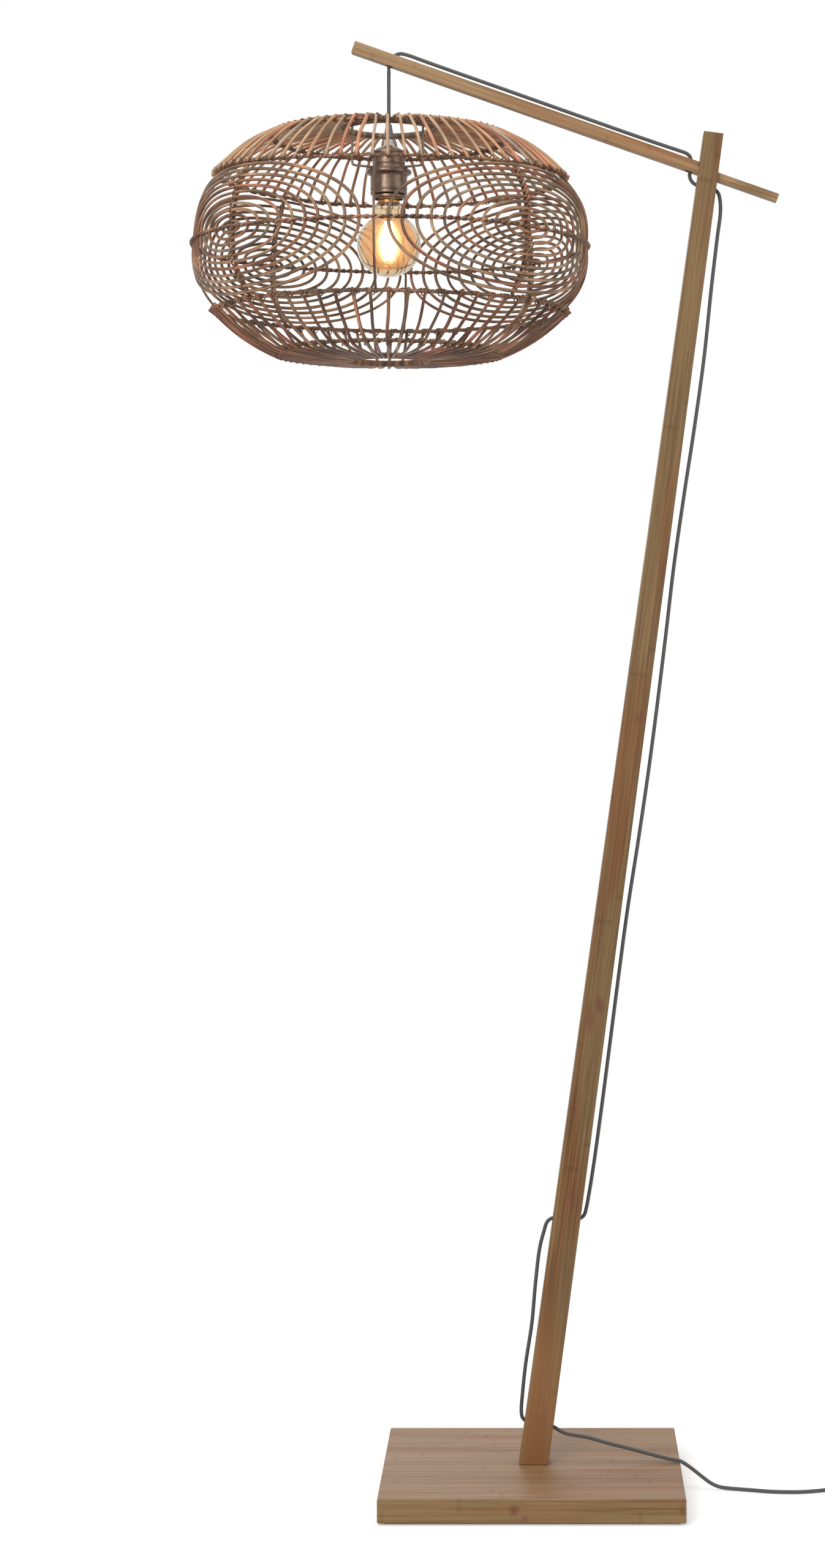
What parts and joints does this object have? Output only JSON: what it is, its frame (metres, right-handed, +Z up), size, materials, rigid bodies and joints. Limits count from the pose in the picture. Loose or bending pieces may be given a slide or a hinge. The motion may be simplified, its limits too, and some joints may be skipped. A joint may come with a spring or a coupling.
{
  "type": "rattan floor lamp",
  "caption": "Floor lamp with an openwork rattan shade that hangs by its cord from the sloping arm of a leaning square bamboo post on a flat base.",
  "frame": {"origin": "middle of the base's underside, on the floor", "axes": "+Z up, +X to the side that the post leans to, -Y to the side that the picture looks from"},
  "size_m": [1.0243, 0.5, 1.8052],
  "materials": {
    "bamboo": "satin carbonised bamboo with fine straight grain",
    "bamboo_dark": "satin carbonised bamboo, laminated strips along the bar",
    "felt": "black felt sheet",
    "steel": "plain zinc plated steel",
    "cord_textile": "mid grey braided textile over the cable",
    "cone_grey": "matte grey strain relief",
    "nylon_white": "off white nylon",
    "bronze": "satin antique bronze",
    "brass": "plain brass",
    "ceramic_white": "unglazed white porcelain",
    "bulb_clear": "clear glass with a light amber tint",
    "filament_glow": "warm glowing filaments",
    "rattan": "satin round rattan cane, varied brown",
    "rattan_dark": "rattan cane bound with thin strips",
    "plastic_black": "fine matte black moulding"
  },
  "bodies": {
    "stand": {"base_felt": "felt", "base_plate": "bamboo", "post_washer": "steel", "post_bolt": "steel", "post": "bamboo_dark", "arm": "bamboo", "arm_screw": "steel", "cord_over_arm": "cord_textile", "cord_beside_post": "cord_textile", "cord_beside_foot": "cord_textile", "cord_to_switch": "cord_textile", "cord_to_coil": "cord_textile", "cord_coil": "cord_textile", "cord_to_plug": "cord_textile", "switch_base": "plastic_black", "switch_screw_1": "steel", "switch_screw_2": "steel", "switch_cover": "plastic_black", "switch_relief_in": "plastic_black", "switch_relief_out": "plastic_black", "plug_relief": "plastic_black", "plug_body": "plastic_black", "plug_pin_1": "steel", "plug_pin_2": "steel"},
    "bend": {"cord_bend": "cord_textile"},
    "drop": {"cord_drop": "cord_textile"},
    "pendant": {"cord_cone": "cone_grey", "cord_grip": "nylon_white", "holder_cap": "bronze", "holder_body": "bronze", "shade_ring": "bronze", "holder_insert": "ceramic_white", "centre_contact": "brass", "screw_shell": "brass", "bulb_glass": "bulb_clear", "bulb_cap": "brass", "bulb_tip": "brass", "filament_stem": "bulb_clear", "filaments": "filament_glow", "spider": "bronze", "upper_strands": "rattan", "lower_strands": "rattan", "top_hoop": "rattan_dark", "bottom_hoop": "rattan_dark", "upper_shoulder_hoop": "rattan_dark", "lower_shoulder_hoop": "rattan_dark", "waist_hoop": "rattan_dark", "oval_net_front_right": "rattan", "oval_net_back_right": "rattan", "oval_net_back_left": "rattan", "oval_net_front_left": "rattan", "side_rib_1": "rattan_dark", "side_rib_2": "rattan_dark", "side_rib_3": "rattan_dark", "side_rib_4": "rattan_dark"},
    "button": {"switch_button": "plastic_black"}
  },
  "joints": [
    {"name": "pendant_swing", "type": "hinge", "parent": "stand", "child": "bend", "pos_m": [-0.179, 0, 1.7724], "axis": [0, 1, 0], "range_deg": [-8, 30]},
    {"name": "pendant_sway", "type": "hinge", "parent": "bend", "child": "drop", "pos_m": [-0.179, 0, 1.7724], "axis": [1, 0, 0], "range_deg": [-25, 25]},
    {"name": "pendant_turn", "type": "hinge", "parent": "drop", "child": "pendant", "pos_m": [-0.179, 0, 1.6795], "axis": [0, 0, 1], "range_deg": [-90, 90]},
    {"name": "switch_press", "type": "slide", "parent": "stand", "child": "button", "axis": [0, 0, -1], "range_m": [0, 0.0025], "stiffness_N_per_m": 500}
  ]
}
